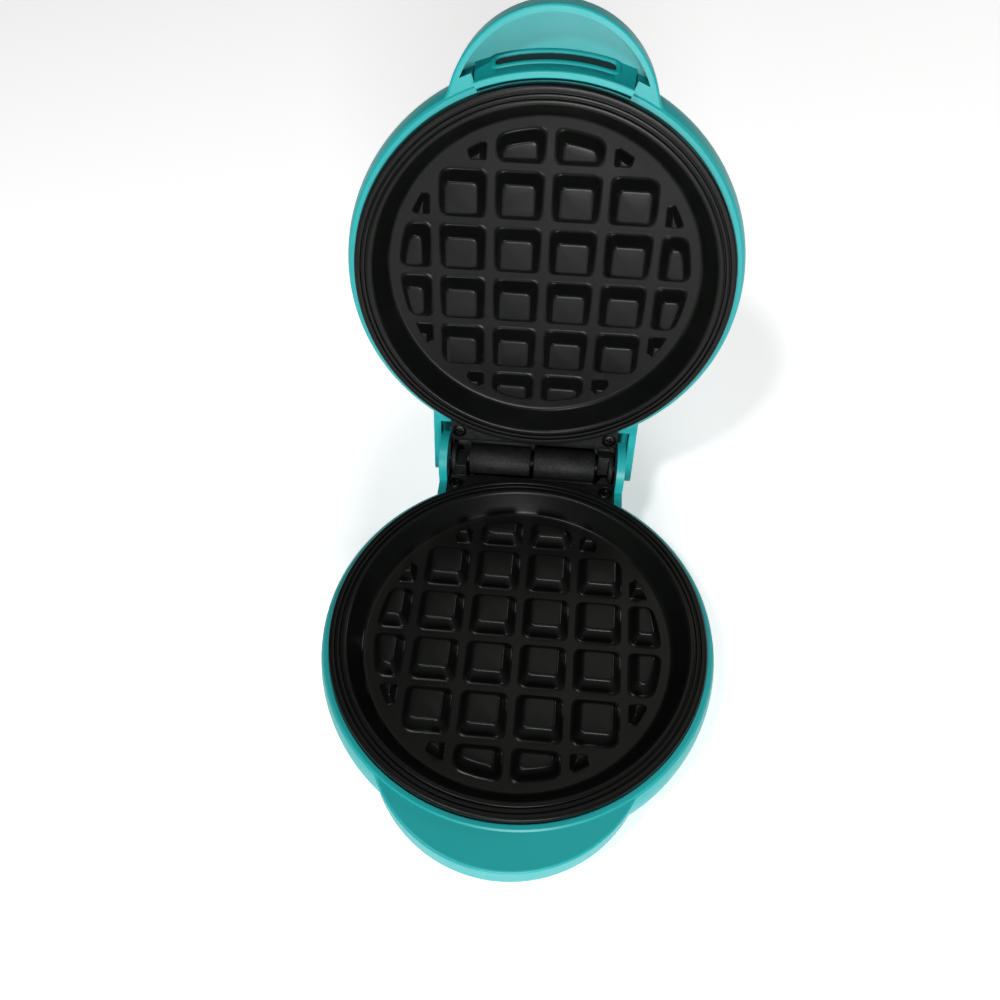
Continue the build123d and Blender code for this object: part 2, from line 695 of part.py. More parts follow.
with BuildPart() as fuse_clip:
    with BuildSketch(on(base_at, Plane.YZ.offset(-fuse_clip_width / 2))):
        with Locations((fuse_y, floor_under - fuse_radius - fuse_clip_wall / 2)):
            Rectangle(2 * (fuse_radius + fuse_clip_wall), 2 * fuse_radius + fuse_clip_wall)
        with Locations((fuse_y, floor_under - fuse_radius)):
            Circle(fuse_radius + fit_gap / 4, mode=Mode.SUBTRACT)
        with Locations((fuse_y, floor_under - fuse_radius / 2)):
            Rectangle(2 * fuse_radius + fit_gap / 2, fuse_radius, mode=Mode.SUBTRACT)
    extrude(amount=fuse_clip_width)
fuse_clip.part.label = "fuse_clip"
export_step(fuse_clip.part, "parts/fuse_clip.step")

# Terminal block on the floor of the hinge block
with BuildPart() as terminal_block:
    with BuildSketch(on(base_at, Plane.XY.offset(cover_top))):
        with Locations((0, terminal_y)):
            Rectangle(terminal_length, terminal_width)
    extrude(amount=terminal_height)
    with BuildSketch(on(base_at, Plane.XZ.offset(-terminal_y - terminal_width / 2))):
        with Locations((0, cover_top + terminal_height / 2)):
            with GridLocations(terminal_length / 3, 1, 3, 1):
                Circle(terminal_bore)
    extrude(amount=terminal_width, mode=Mode.SUBTRACT)
    fillet(terminal_block.edges().filter_by(Axis.Z), terminal_round)
terminal_block.part.label = "terminal_block"
export_step(terminal_block.part, "parts/terminal_block.step")

# Gland that lines the cord's hole in the back wall
with BuildPart() as cord_gland:
    with BuildSketch(gland_plane):
        Circle(gland_radius)
        Circle(gland_bore_radius, mode=Mode.SUBTRACT)
    extrude(amount=gland_flange)
    with BuildSketch(gland_plane):
        Circle(gland_neck_radius)
        Circle(gland_bore_radius, mode=Mode.SUBTRACT)
    extrude(amount=-block_wall)
    with BuildSketch(gland_plane.offset(-block_wall)):
        Circle(gland_radius)
        Circle(gland_bore_radius, mode=Mode.SUBTRACT)
    extrude(amount=-gland_flange)
cord_gland.part.label = "cord_gland"
export_step(cord_gland.part, "parts/cord_gland.step")

# Lid shell: a dome with a hollow handle in front and the hinge shroud behind
with BuildPart() as lid_shell:
    # Handle, rounded along its outer edge
    with BuildSketch(on(lid_at, Plane.XY.offset(lid_handle_lip))):
        handle_outline(blend_radius, lid_handle_radius, lid_handle_y)
    extrude(amount=-lid_handle_depth)
    fillet(lid_shell.faces().sort_by(spin_axis(lid_at))[0].edges(), lid_handle_edge)
    fillet(lid_shell.faces().sort_by(spin_axis(lid_at))[-1].edges(), handle_brim)
    # Dome
    with BuildSketch(on(lid_at, Plane.XZ)):
        with BuildLine():
            RadiusArc((0, -half_depth), (dome_join_x, dome_join_z), -dome_radius())
            RadiusArc((dome_join_x, dome_join_z), (shell_radius, shell_wide_z), -lid_corner_radius)
            TangentArc((shell_radius, shell_wide_z), (lip_radius, lip_z - lip_edge), tangent=(0, 1))
            Polyline((lip_radius, lip_z - lip_edge), (lip_radius - lip_edge, lip_z), (0, lip_z), (0, -half_depth))
        make_face()
    revolve(axis=spin_axis(lid_at))
    # Shroud and arms over the hinge
    with BuildSketch(on(lid_at, Plane.YZ)) as shroud_side:
        with Locations(((arm_front_y + arm_end_y) / 2, arm_edge_z - shroud_depth / 2)):
            Rectangle(arm_end_y - arm_front_y, shroud_depth)
        fillet(shroud_side.vertices().sort_by(Axis.X)[-2:], arm_round)
    extrude(amount=arm_outer_x, both=True)
    with BuildSketch(on(lid_at, Plane.YZ)) as shroud_inside:
        with Locations((hinge_y, hinge_z)):
            Circle(shroud_clear_radius)
        with Locations((arm_end_y, 0)):
            Rectangle(2 * (arm_end_y - shroud_rear_y), 2 * half_depth)
        with Locations((shroud_front_y + arm_end_y, 0)):
            Rectangle(2 * arm_end_y, 2 * half_depth, mode=Mode.INTERSECT)
    extrude(amount=arm_inner_x, both=True, mode=Mode.SUBTRACT)
    # Inside of the dome
    with BuildSketch(on(lid_at, Plane.XZ)):
        with BuildLine():
            RadiusArc((0, shell_wall - half_depth), (dome_inner_x, dome_inner_z), shell_wall - dome_radius())
            RadiusArc(
                (dome_inner_x, dome_inner_z), (inner_wall_radius, shell_wide_z),
                shell_wall - lid_corner_radius)
            Polyline(
                (inner_wall_radius, shell_wide_z), (inner_wall_radius, ear_bottom),
                (inner_lip_radius, flange_z), (inner_lip_radius, lip_z), (0, lip_z),
                (0, shell_wall - half_depth))
        make_face()
    revolve(axis=spin_axis(lid_at), mode=Mode.SUBTRACT)
    # Hollow of the handle, open to the cooking side
    with BuildSketch(on(lid_at, Plane.XY.offset(lid_handle_lip))):
        with Locations((0, lid_handle_y)):
            Circle(lid_handle_radius - lid_handle_wall)
        Circle(shell_radius + lid_handle_wall, mode=Mode.SUBTRACT)
    extrude(amount=-lid_hollow_depth, mode=Mode.SUBTRACT)
    # Ledge that carries the plate's rim
    with BuildSketch(on(lid_at, Plane.XY.offset(flange_z))):
        Circle(inner_lip_radius + shell_wall / 2)
        Circle(rim_radius - ledge_width, mode=Mode.SUBTRACT)
    extrude(amount=-ledge_thickness)
    # Gap that the handle insert fills
    with BuildSketch(on(lid_at, Plane.XY.offset(lip_z))):
        insert_sector(inner_lip_radius, insert_foot_radius + fit_gap, insert_half_angle + insert_play)
    extrude(amount=-lid_hollow_depth - lip_z + lid_handle_lip, mode=Mode.SUBTRACT)
    # Bay for the plate's ears
    with BuildSketch(on(lid_at, Plane.XY.offset(block_top_z))):
        with Locations((0, bay_middle_y)):
            Rectangle(2 * fin_inner_x, bay_length)
    extrude(amount=bay_height, mode=Mode.SUBTRACT)
    # Bosses for the screws of the ears
    with BuildSketch(on(lid_at, Plane.XY.offset(ear_bottom))):
        with Locations((-ear_screw_x, ear_screw_y), (ear_screw_x, ear_screw_y)):
            Circle(lid_post_radius)
    extrude(amount=-ear_screw_length - fit_gap)
    with BuildSketch(on(lid_at, Plane.XY.offset(ear_bottom))):
        with Locations((-ear_screw_x, ear_screw_y), (ear_screw_x, ear_screw_y)):
            Circle(screw_shank_radius + fit_gap / 2)
    extrude(amount=-ear_screw_length, mode=Mode.SUBTRACT)
    # Hole of the indicator
    with BuildSketch(on(lid_at, Plane.XY.offset(-half_depth))):
        with Locations((0, lens_y)):
            Circle(lens_radius + fit_gap / 2)
    extrude(amount=half_depth / 2, mode=Mode.SUBTRACT)
lid_shell.part.label = "lid_shell"
export_step(lid_shell.part, "parts/lid_shell.step")

# Insert between the lid's plate and the hollow of its handle
with BuildPart() as handle_insert:
    with BuildSketch(radial_plane(lid_at, handle_angle - insert_half_angle)):
        with BuildLine():
            Polyline(
                (inner_wall_radius, insert_foot_z), (insert_foot_radius, insert_foot_z),
                (insert_outer_radius, insert_shoulder), (insert_outer_radius, insert_top),
                (insert_inner_radius, insert_top), (insert_inner_radius, flange_z),
                (inner_wall_radius, ledge_bottom), close=True)
        make_face()
    revolve(axis=spin_axis(lid_at), revolution_arc=2 * insert_half_angle)
    # Raised bezel round the slot
    with BuildSketch(radial_plane(lid_at, handle_angle - bezel_half_angle)):
        with BuildLine():
            Polyline(
                (insert_face(bezel_bottom) - bezel_stand, bezel_bottom),
                (insert_face(bezel_bottom) + bezel_stand, bezel_bottom),
                (insert_face(bezel_top) + bezel_stand, bezel_top),
                (insert_face(bezel_top) - bezel_stand, bezel_top), close=True)
        make_face()
    revolve(axis=spin_axis(lid_at), revolution_arc=2 * bezel_half_angle)
    with BuildSketch(radial_plane(lid_at, handle_angle - slot_half_angle)):
        with BuildLine():
            Polyline(
                (insert_face(slot_bottom) + bezel_stand - slot_depth, slot_bottom),
                (insert_foot_radius + bezel_stand, slot_bottom),
                (insert_foot_radius + bezel_stand, slot_top),
                (insert_face(slot_bottom) + bezel_stand - slot_depth, slot_top), close=True)
        make_face()
    revolve(axis=spin_axis(lid_at), revolution_arc=2 * slot_half_angle, mode=Mode.SUBTRACT)
handle_insert.part.label = "handle_insert"
export_step(handle_insert.part, "parts/handle_insert.step")

# Indicator: a clear lens in the lid and the lamp behind it
with BuildPart() as indicator_lens:
    with BuildSketch(on(lid_at, Plane.XY.offset(dome_z(-lens_y) - lens_stand))):
        with Locations((0, lens_y)):
            Circle(lens_radius)
    extrude(amount=lens_length)
indicator_lens.part.label = "indicator_lens"
export_step(indicator_lens.part, "parts/indicator_lens.step")
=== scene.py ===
"""Looks of the mini waffle maker: finishes, cooking plates, hinge, screws, insert, stage, light, camera."""
import json
import math

import bmesh
import bpy
from mathutils import Matrix, Vector


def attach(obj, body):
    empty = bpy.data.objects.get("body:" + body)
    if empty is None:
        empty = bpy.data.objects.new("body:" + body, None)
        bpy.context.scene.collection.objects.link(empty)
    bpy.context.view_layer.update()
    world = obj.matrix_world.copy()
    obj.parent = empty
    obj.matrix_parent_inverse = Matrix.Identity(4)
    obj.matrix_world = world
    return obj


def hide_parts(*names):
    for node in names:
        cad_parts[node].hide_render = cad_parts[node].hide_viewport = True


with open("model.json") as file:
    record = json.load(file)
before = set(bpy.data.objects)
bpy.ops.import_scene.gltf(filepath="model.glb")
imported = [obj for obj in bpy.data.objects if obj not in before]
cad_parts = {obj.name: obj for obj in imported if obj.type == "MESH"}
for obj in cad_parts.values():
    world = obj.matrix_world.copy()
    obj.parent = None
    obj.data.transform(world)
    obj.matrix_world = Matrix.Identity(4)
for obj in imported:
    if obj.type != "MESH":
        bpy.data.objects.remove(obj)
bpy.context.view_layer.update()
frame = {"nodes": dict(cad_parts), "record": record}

# Sizes in millimetres, in each half's own frame: origin at the middle of the plate's floor,
# +Y to the hinge, +Z out of the cooking side
MM = 0.001
HINGE = next(joint for joint in frame["record"]["behaviour"]["joints"] if joint["name"] == "lid_hinge")
HINGE_Y, HINGE_HEIGHT = HINGE["pos_m"][1] / MM, HINGE["pos_m"][2] / MM
OPEN_ANGLE = math.radians(HINGE["range_deg"][1])
HINGE_Z = 8.5
PLATE_HEIGHT = HINGE_HEIGHT - HINGE_Z

# Plate
PITCH = 17.4
ROWS = 6
STUB_HALF = 6.88
STUB_TAPER = 1.99
STUB_HEIGHT = 4.9
STUB_FOOT_CORNER, STUB_TOP_CORNER = 2.3, 1.15
FIELD_RADIUS = 46.0
RIM_RADIUS = 60.1
RIM_TOP = 8.0
RIM_UNDER = 4.6
FLOOR_UNDER = -2.8

# Stubs that the round field cuts: the least depth, the depth of a pip, and how far a pip's points may reach,
# as a share of its depth, at the sides and at the front and back
LEAST_DEPTH, PIP_DEPTH = 1.0, 2.6
PIP_SIDE_REACH, PIP_END_REACH = 2.2, 1.65
SMALLEST_TOP = 0.22

# Ears, hinge tubes and screws
EAR_HALF = 29.7
EAR_END = 62.0
EAR_TOP = 6.0
EAR_UNDER = 3.0
EAR_EDGE, EAR_CORNER = 0.45, 1.4
EAR_UNDER_RIM = 2.0
BARREL_RADIUS = 5.5
PIN_BORE = 1.83
BARREL_SPAN = (0.6, 22.4)
KNUCKLE_SPAN = (23.4, 28.9)
KNUCKLE_DISC = 1.7
SCREW_X, SCREW_Y = 26.8, 58.0
RECESS_RADIUS, RECESS_DEPTH = 2.5, 1.6
HEAD_RADIUS, HEAD_HEIGHT = 2.2, 1.5
SHANK_RADIUS, SHANK_LENGTH = 1.5, 7.4
CROSS_HALF, CROSS_REACH, CROSS_DEPTH = 0.40, 1.40, 0.9
CROSS_TURN = math.radians(20)

# Bay round the hinge tubes, lined with black sheets of painted shade
BAY_HALF, BAY_FRONT, BAY_REAR = 29.95, 61.0, 76.6
BAY_FLOOR, BAY_CHEEK = 2.02, 9.6

# Insert of the lid's handle
INSERT_TOP_RADIUS, INSERT_FOOT_RADIUS = 63.5, 66.4
INSERT_FOOT, INSERT_SHOULDER, INSERT_TOP = -3.8, 7.2, 9.0
INSERT_HALF = 20.3
SLOT_RADIUS, SLOT_HALF = 65.2, 14.9
SLOT_LOW, SLOT_HIGH = -2.3, 2.1
SLOT_CORNER, FRAME_CORNER = 1.3, 2.4
FRAME_WIDTH = 1.5
# How far the black sheet of painted shade behind the slot reaches past its edges
PAINTED_SHADE_OVERLAP = 0.2

# Camera, fitted to both plates of the photograph
CAMERA_PLACE = (0.00648, -0.13495, 0.29333)
CAMERA_PITCH = 90 - 54.11
CAMERA_TURN = 5.13
CAMERA_LENS = 32.45
LIGHT_TARGET = Vector((0, 0.04, 0.06))


def half_matrix(side):
    """Where a half's own frame stands in the whole, scaled from millimetres to metres."""
    scale = Matrix.Scale(MM, 4)
    if side == "lower":
        return scale @ Matrix.Translation((0, 0, PLATE_HEIGHT))
    closed = Matrix.Translation((0, 0, PLATE_HEIGHT + 2 * HINGE_Z)) @ Matrix.Rotation(math.pi, 4, "Y")
    hinge = Matrix.Translation((0, HINGE_Y, HINGE_HEIGHT))
    return scale @ hinge @ Matrix.Rotation(-OPEN_ANGLE, 4, "X") @ hinge.inverted() @ closed


# Materials

def new_material(name):
    """An empty node material and its shader."""
    material = bpy.data.materials.new(name)
    material.use_nodes = True
    return material, material.node_tree, material.node_tree.nodes["Principled BSDF"]


def add_noise(tree, scale, detail=3.0, rough=0.5):
    """Noise in object space, as a node."""
    place = tree.nodes.new("ShaderNodeTexCoord")
    noise = tree.nodes.new("ShaderNodeTexNoise")
    noise.inputs["Scale"].default_value = scale
    noise.inputs["Detail"].default_value = detail
    noise.inputs["Roughness"].default_value = rough
    tree.links.new(place.outputs["Object"], noise.inputs["Vector"])
    return noise


def add_ramp(tree, source, stops):
    """A colour ramp over a value; stops are (position, colour)."""
    ramp = tree.nodes.new("ShaderNodeValToRGB")
    while len(ramp.color_ramp.elements) < len(stops):
        ramp.color_ramp.elements.new(0.5)
    for element, (position, colour) in zip(ramp.color_ramp.elements, stops):
        element.position = position
        element.color = (*colour, 1.0)
    tree.links.new(source, ramp.inputs["Fac"])
    return ramp


def add_bump(tree, shader, sources, distance):
    """Bump from one or more (value, strength) pairs, one after the other."""
    last = None
    for value, strength in sources:
        bump = tree.nodes.new("ShaderNodeBump")
        bump.inputs["Strength"].default_value = strength
        bump.inputs["Distance"].default_value = distance
        tree.links.new(value, bump.inputs["Height"])
        if last:
            tree.links.new(last.outputs["Normal"], bump.inputs["Normal"])
        last = bump
    tree.links.new(last.outputs["Normal"], shader.inputs["Normal"])


def set_range(tree, source, low, high):
    """Spread a 0..1 value over a narrower range."""
    spread = tree.nodes.new("ShaderNodeMapRange")
    spread.inputs["To Min"].default_value = low
    spread.inputs["To Max"].default_value = high
    tree.links.new(source, spread.inputs["Value"])
    return spread


def plastic_material(name, dark, light, rough_low, rough_high, grain, gloss=0.4):
    """Moulded plastic: a slight drift of colour, fine grain and soft scuffs."""
    material, tree, shader = new_material(name)
    drift = add_noise(tree, 14.0)
    colour = add_ramp(tree, drift.outputs["Fac"], [(0.35, dark), (0.65, light)])
    tree.links.new(colour.outputs["Color"], shader.inputs["Base Color"])
    scuff = add_noise(tree, 90.0, 6.0, 0.65)
    rough = set_range(tree, scuff.outputs["Fac"], rough_low, rough_high)
    tree.links.new(rough.outputs["Result"], shader.inputs["Roughness"])
    fine = add_noise(tree, 2600.0, 2.0)
    soft = add_noise(tree, 160.0, 2.0)
    add_bump(tree, shader, [(fine.outputs["Fac"], grain), (soft.outputs["Fac"], grain * 0.6)], 0.0002)
    shader.inputs["Specular IOR Level"].default_value = gloss
    return material


def nonstick_material():
    """Black non-stick coat over cast metal: satin, faintly mottled, with greasy wear."""
    material, tree, shader = new_material("nonstick_coat")
    mottle = add_noise(tree, 55.0, 5.0, 0.6)
    colour = add_ramp(tree, mottle.outputs["Fac"], [
        (0.30, (0.0036, 0.0042, 0.0037)), (0.62, (0.0052, 0.0060, 0.0052)), (0.80, (0.0085, 0.0090, 0.0080))])
    tree.links.new(colour.outputs["Color"], shader.inputs["Base Color"])
    wear = add_noise(tree, 24.0, 7.0, 0.62)
    rough = set_range(tree, wear.outputs["Fac"], 0.24, 0.38)
    tree.links.new(rough.outputs["Result"], shader.inputs["Roughness"])
    speck = add_noise(tree, 1900.0, 2.0)
    skin = add_noise(tree, 420.0, 3.0)
    add_bump(tree, shader, [(speck.outputs["Fac"], 0.10), (skin.outputs["Fac"], 0.12)], 0.00018)
    shader.inputs["Specular IOR Level"].default_value = 0.15
    return material


def cast_material():
    """The same black coat on the rougher skin of the hinge tubes and ears."""
    material, tree, shader = new_material("nonstick_on_cast")
    mottle = add_noise(tree, 320.0, 5.0, 0.7)
    colour = add_ramp(tree, mottle.outputs["Fac"], [
        (0.35, (0.0045, 0.0048, 0.0050)), (0.70, (0.0110, 0.0114, 0.0114))])
    tree.links.new(colour.outputs["Color"], shader.inputs["Base Color"])
    wear = add_noise(tree, 260.0, 6.0, 0.7)
    rough = set_range(tree, wear.outputs["Fac"], 0.30, 0.62)
    tree.links.new(rough.outputs["Result"], shader.inputs["Roughness"])
    pit = add_noise(tree, 900.0, 4.0, 0.7)
    skin = add_noise(tree, 260.0, 4.0, 0.6)
    add_bump(tree, shader, [(pit.outputs["Fac"], 0.45), (skin.outputs["Fac"], 0.35)], 0.0006)
    shader.inputs["Specular IOR Level"].default_value = 0.20
    return material


def metal_material(name, colour, rough_low, rough_high, stretch):
    """Metal with drawn or rolled streaks along one axis."""
    material, tree, shader = new_material(name)
    place = tree.nodes.new("ShaderNodeTexCoord")
    squeeze = tree.nodes.new("ShaderNodeMapping")
    squeeze.inputs["Scale"].default_value = stretch
    streak = tree.nodes.new("ShaderNodeTexNoise")
    streak.inputs["Scale"].default_value = 300.0
    streak.inputs["Detail"].default_value = 4.0
    tree.links.new(place.outputs["Object"], squeeze.inputs["Vector"])
    tree.links.new(squeeze.outputs["Vector"], streak.inputs["Vector"])
    shade = add_ramp(tree, streak.outputs["Fac"], [
        (0.3, tuple(0.82 * part for part in colour)), (0.7, tuple(min(1.0, 1.12 * part) for part in colour))])
    tree.links.new(shade.outputs["Color"], shader.inputs["Base Color"])
    rough = set_range(tree, streak.outputs["Fac"], rough_low, rough_high)
    tree.links.new(rough.outputs["Result"], shader.inputs["Roughness"])
    add_bump(tree, shader, [(streak.outputs["Fac"], 0.08)], 0.0001)
    shader.inputs["Metallic"].default_value = 1.0
    return material


def lens_material():
    """Red tinted clear lens."""
    material, tree, shader = new_material("red_lens")
    cloud = add_noise(tree, 400.0)
    tint = add_ramp(tree, cloud.outputs["Fac"], [(0.3, (0.50, 0.03, 0.02)), (0.7, (0.62, 0.05, 0.03))])
    tree.links.new(tint.outputs["Color"], shader.inputs["Base Color"])
    shader.inputs["Roughness"].default_value = 0.12
    shader.inputs["Transmission Weight"].default_value = 0.5
    return material


TEAL = plastic_material("teal_plastic", (0.009, 0.330, 0.335), (0.012, 0.358, 0.366), 0.34, 0.46, 0.04, 0.33)
COVER = plastic_material(
    "black_textured_plastic", (0.016, 0.016, 0.017), (0.024, 0.024, 0.025), 0.5, 0.68, 0.3)
RUBBER = plastic_material("black_rubber", (0.014, 0.014, 0.014), (0.022, 0.021, 0.021), 0.72, 0.9, 0.35)
CERAMIC = plastic_material("pale_ceramic", (0.62, 0.59, 0.52), (0.72, 0.70, 0.64), 0.45, 0.6, 0.15)
NONSTICK = nonstick_material()
CAST = cast_material()
STEEL = metal_material("plated_steel", (0.52, 0.52, 0.50), 0.28, 0.45, (1.0, 1.0, 0.06))
SHEATH = metal_material("heater_sheath", (0.22, 0.21, 0.20), 0.4, 0.6, (1.0, 1.0, 0.1))
BLACK_STEEL = metal_material("black_oxide_steel", (0.035, 0.035, 0.036), 0.34, 0.5, (1.0, 1.0, 1.0))
LENS = lens_material()

SLOT_MATERIAL = {
    "housing": TEAL, "cover": COVER, "foot": RUBBER, "plate": NONSTICK, "pin": CAST,
    "screw_black": BLACK_STEEL, "sheet_steel": STEEL, "element": SHEATH, "ceramic_part": CERAMIC,
    "gland": COVER, "lens": LENS}


def dress_cad_nodes():
    """Give each node that the CAD carries over its material."""
    slots = {part["node"]: part["material_slot"] for part in frame["record"]["subparts"]}
    for name, node in frame["nodes"].items():
        for slot in node.material_slots:
            slot.material = SLOT_MATERIAL[slots[name]]


# Mesh helpers

class Builder:
    """Collects closed shells in millimetres and turns them into one object."""

    def __init__(self, name, side, material, slot, body):
        self.name, self.side, self.material, self.slot, self.body = name, side, material, slot, body
        self.mesh = bmesh.new()

    def rings(self, rings, cap_first=True, cap_last=True):
        """A skin over rings of equal length, each a closed loop of points."""
        loops = [[self.mesh.verts.new(point) for point in ring] for ring in rings]
        count = len(loops[0])
        for low, high in zip(loops, loops[1:]):
            for index in range(count):
                after = (index + 1) % count
                self.mesh.faces.new((low[index], low[after], high[after], high[index]))
        if cap_first:
            self.mesh.faces.new(list(reversed(loops[0])))
        if cap_last:
            self.mesh.faces.new(loops[-1])

    def lathe(self, profile, segments=192):
        """Turn a profile of (radius, height) about the half's axis; it starts and ends on the axis."""
        loops = [[
            self.mesh.verts.new((
                radius * math.cos(2 * math.pi * step / segments),
                radius * math.sin(2 * math.pi * step / segments), height))
            for step in range(segments)] for radius, height in profile[1:-1]]
        ends = [self.mesh.verts.new((0, 0, profile[0][1])), self.mesh.verts.new((0, 0, profile[-1][1]))]
        for low, high in zip(loops, loops[1:]):
            for step in range(segments):
                after = (step + 1) % segments
                self.mesh.faces.new((low[step], low[after], high[after], high[step]))
        for step in range(segments):
            after = (step + 1) % segments
            self.mesh.faces.new((loops[0][after], loops[0][step], ends[0]))
            self.mesh.faces.new((loops[-1][step], loops[-1][after], ends[1]))

    def finish(self, smooth_angle=35.0):
        """Place the shells, shade them and put the object on its body."""
        bmesh.ops.recalc_face_normals(self.mesh, faces=self.mesh.faces)
        data = bpy.data.meshes.new(self.name)
        self.mesh.transform(half_matrix(self.side))
        self.mesh.to_mesh(data)
        self.mesh.free()
        piece = bpy.data.objects.new(self.name, data)
        bpy.context.scene.collection.objects.link(piece)
        data.materials.append(self.material)
        data.polygons.foreach_set("use_smooth", [True] * len(data.polygons))
        data.set_sharp_from_angle(angle=math.radians(smooth_angle))
        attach(piece, self.body)
        return piece


def rounded_box_rings(half_x, y_low, y_high, z_low, z_high, corner, edge, steps=6):
    """Rings of a box with rounded upright corners and rounded top and bottom edges."""
    rings = []
    levels = []
    for step in range(steps + 1):
        turn = math.pi / 2 * step / steps
        levels.append((z_low + edge * (1 - math.sin(turn)), edge * (1 - math.cos(turn))))
    levels.reverse()
    levels += [(z_low + z_high - z, inset) for z, inset in reversed(levels)]
    for z, inset in levels:
        ring = []
        for corner_x, corner_y, start in (
                (half_x - corner, y_high - corner, 0), (corner - half_x, y_high - corner, 90),
                (corner - half_x, y_low + corner, 180), (half_x - corner, y_low + corner, 270)):
            for step in range(steps + 1):
                turn = math.radians(start + 90 * step / steps)
                reach = corner - inset
                ring.append((corner_x + reach * math.cos(turn), corner_y + reach * math.sin(turn), z))
        rings.append(ring)
    return rings


def stub_distance(x, y, cell_x, cell_y, inset, corner):
    """Signed distance-like value to a stub's outline: a rounded square cut by the round field."""
    walls = (abs(x - cell_x) - STUB_HALF + inset, abs(y - cell_y) - STUB_HALF + inset,
             math.hypot(x, y) - FIELD_RADIUS + inset)
    outside = math.sqrt(sum(max(wall + corner, 0.0) ** 2 for wall in walls))
    return min(max(walls) + corner, 0.0) + outside - corner


# Halvings of the search along a ray, down to a millionth of a millimetre
HALVINGS = 26


def stub_ring(cell_x, cell_y, middle, inset, corner, z, reach=2 * STUB_HALF, count=72):
    """One ring of a stub at a height, found along rays from the stub's middle."""
    ring = []
    for step in range(count):
        turn = 2 * math.pi * step / count
        reach_x, reach_y = math.cos(turn), math.sin(turn)
        low, high = 0.0, reach
        for _ in range(HALVINGS):
            mid = (low + high) / 2
            x, y = middle[0] + mid * reach_x, middle[1] + mid * reach_y
            if stub_distance(x, y, cell_x, cell_y, inset, corner) < 0:
                low = mid
            else:
                high = mid
        ring.append((middle[0] + low * reach_x, middle[1] + low * reach_y, z))
    return ring


# Rise of a stub's side: (share of the height, share of the taper), flared at the foot, rounded at the top
STUB_RISE = (
    (-0.05, -0.46), (0.0, -0.40), (0.025, -0.22), (0.07, -0.02), (0.14, 0.08), (0.45, 0.40), (0.70, 0.67),
    (0.88, 0.86), (0.935, 0.94), (0.97, 1.04), (0.992, 1.18), (1.0, 1.36))


def stub_middle(cell_x, cell_y):
    """A point well inside a stub's foot, also where the round field cuts it, and its depth there."""
    best, best_depth = (cell_x, cell_y), 1e9
    for step_x in range(-10, 11):
        for step_y in range(-10, 11):
            x, y = cell_x + step_x * STUB_HALF / 10, cell_y + step_y * STUB_HALF / 10
            depth = stub_distance(x, y, cell_x, cell_y, 0.0, 0.3)
            if depth < best_depth:
                best, best_depth = (x, y), depth
    return best, -best_depth


def add_stubs(plate):
    """The raised stubs of the waffle grid."""
    offset = (ROWS - 1) / 2
    for row in range(ROWS):
        for column in range(ROWS):
            cell_x, cell_y = (column - offset) * PITCH, (row - offset) * PITCH
            middle, depth = stub_middle(cell_x, cell_y)
            if depth < LEAST_DEPTH:
                continue
            taper = min(STUB_TAPER, (depth - SMALLEST_TOP) / STUB_RISE[-1][1])
            foot_corner, top_corner = STUB_FOOT_CORNER, STUB_TOP_CORNER
            if depth < 4:
                foot_corner, top_corner = 0.50 * depth, 0.12 * depth
            reach = 2 * STUB_HALF
            if depth <= PIP_DEPTH:
                reach = depth * (PIP_SIDE_REACH if abs(cell_x) > abs(cell_y) else PIP_END_REACH)
            rings = []
            for rise, share in STUB_RISE:
                corner = foot_corner + (top_corner - foot_corner) * max(rise, 0.0)
                rings.append(stub_ring(
                    cell_x, cell_y, middle, share * taper, corner, rise * STUB_HEIGHT, reach - share * taper))
            plate.rings(rings)


# Section of the dish, from the middle of the floor outwards over the ridged rim and back underneath
DISH = [
    # Floor and the round at its edge
    (0, 0), (20, 0), (40, 0), (49.2, 0), (49.8, 0.06), (50.3, 0.3), (50.7, 0.75), (51.0, 1.3),
    # Sloping wall and the rim's inner edge
    (54.0, 6.9), (54.15, 7.3), (54.4, 7.7), (54.75, 7.93), (55.1, RIM_TOP), (55.8, RIM_TOP),
    # Inner groove
    (56.0, 7.93), (56.15, 7.75), (56.22, 7.4), (56.3, 7.2),
    (56.5, 7.2), (56.58, 7.4), (56.62, 7.75), (56.75, 7.95), (56.95, RIM_TOP),
    # Outer groove
    (57.35, RIM_TOP), (57.55, 7.95), (57.68, 7.75), (57.72, 7.4), (57.8, 7.2),
    (58.0, 7.2), (58.08, 7.4), (58.14, 7.75), (58.28, 7.95), (58.5, RIM_TOP),
    # Rim's outer edge
    (59.4, RIM_TOP), (59.75, 7.93), (60.0, 7.7), (RIM_RADIUS, 7.35), (RIM_RADIUS, 5.0), (60.0, 4.7),
    # Underside of the rim, the wall and the floor
    (59.8, RIM_UNDER), (57.0, RIM_UNDER), (56.6, 4.5), (52.6, -2.4), (52.1, -2.75),
    (51.6, FLOOR_UNDER), (20, FLOOR_UNDER), (0, FLOOR_UNDER)]


def turned_ring(x, radius, count=64):
    """A ring about the hinge axis at a place along it."""
    return [(
        x, HINGE_Y + radius * math.cos(2 * math.pi * step / count),
        HINGE_Z + radius * math.sin(2 * math.pi * step / count)) for step in range(count)]


def add_barrel(plate, start, end, radius):
    """A hinge tube with softened ends and a bore."""
    ease = 0.5
    rings = [
        turned_ring(start + 1.2, PIN_BORE), turned_ring(start, PIN_BORE), turned_ring(start, radius - ease),
        turned_ring(start + ease * 0.3, radius - ease * 0.3), turned_ring(start + ease, radius),
        turned_ring(end - ease, radius), turned_ring(end - ease * 0.3, radius - ease * 0.3),
        turned_ring(end, radius - ease), turned_ring(end, PIN_BORE), turned_ring(end - 1.2, PIN_BORE)]
    plate.rings(rings)


